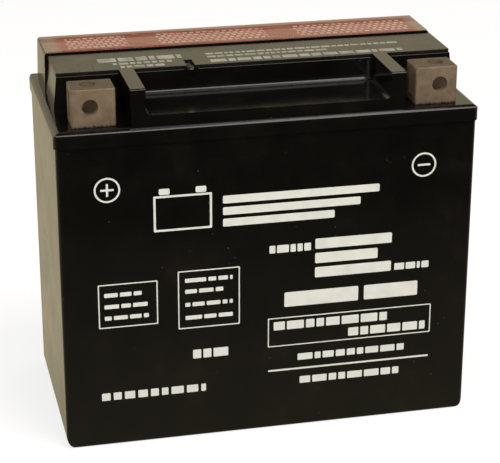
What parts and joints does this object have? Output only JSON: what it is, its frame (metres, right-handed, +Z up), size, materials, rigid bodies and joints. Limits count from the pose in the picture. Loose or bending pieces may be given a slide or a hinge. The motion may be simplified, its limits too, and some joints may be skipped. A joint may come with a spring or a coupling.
{
  "type": "motorcycle battery",
  "caption": "Sealed motorcycle battery with a black moulded case, foil-sealed filler deck, vented lid and two slotted lead terminals in open bays.",
  "frame": {"origin": "centre of the battery's base", "axes": "+X to the right along the battery's length towards the minus terminal, +Y to the back, away from the terminals, +Z up"},
  "size_m": [0.175, 0.087, 0.1553],
  "materials": {
    "black_polypropylene": "moulded black polypropylene, glossy",
    "lid_polypropylene": "moulded black polypropylene, satin",
    "red_foil": "aluminium foil laminate, printed red, slightly wrinkled",
    "black_rubber": "smooth black rubber",
    "porous_ceramic": "sintered, matte",
    "cast_lead": "cast lead alloy, dull with a tan oxide film",
    "positive_paste": "pasted lead grid, brown",
    "negative_paste": "pasted lead grid, grey",
    "glass_mat": "white glass fibre mat"
  },
  "bodies": {
    "battery": {"container": "black_polypropylene", "cover": "black_polypropylene", "vent_lid": "lid_polypropylene", "flame_arrestor": "porous_ceramic", "positive_terminal": "cast_lead", "negative_terminal": "cast_lead", "positive_post": "cast_lead", "negative_post": "cast_lead", "positive_seal_ring": "black_rubber", "negative_seal_ring": "black_rubber", "cell_1_positive_plates": "positive_paste", "cell_2_positive_plates": "positive_paste", "cell_3_positive_plates": "positive_paste", "cell_4_positive_plates": "positive_paste", "cell_5_positive_plates": "positive_paste", "cell_6_positive_plates": "positive_paste", "cell_1_negative_plates": "negative_paste", "cell_2_negative_plates": "negative_paste", "cell_3_negative_plates": "negative_paste", "cell_4_negative_plates": "negative_paste", "cell_5_negative_plates": "negative_paste", "cell_6_negative_plates": "negative_paste", "cell_1_separators": "glass_mat", "cell_2_separators": "glass_mat", "cell_3_separators": "glass_mat", "cell_4_separators": "glass_mat", "cell_5_separators": "glass_mat", "cell_6_separators": "glass_mat", "cell_weld_1": "cast_lead", "cell_weld_2": "cast_lead", "cell_weld_3": "cast_lead", "cell_weld_4": "cast_lead", "cell_weld_5": "cast_lead"},
    "foil": {"foil_seal": "red_foil"},
    "valve": {"safety_valve": "black_rubber"}
  },
  "joints": [
    {"name": "foil_lift", "type": "slide", "parent": "battery", "child": "foil", "axis": [0, 0, 1], "range_m": [0, 0.03]},
    {"name": "valve_lift", "type": "slide", "parent": "battery", "child": "valve", "axis": [0, 0, 1], "range_m": [0, 0.0008], "stiffness_N_per_m": 1500, "springref_m": -0.0003}
  ]
}
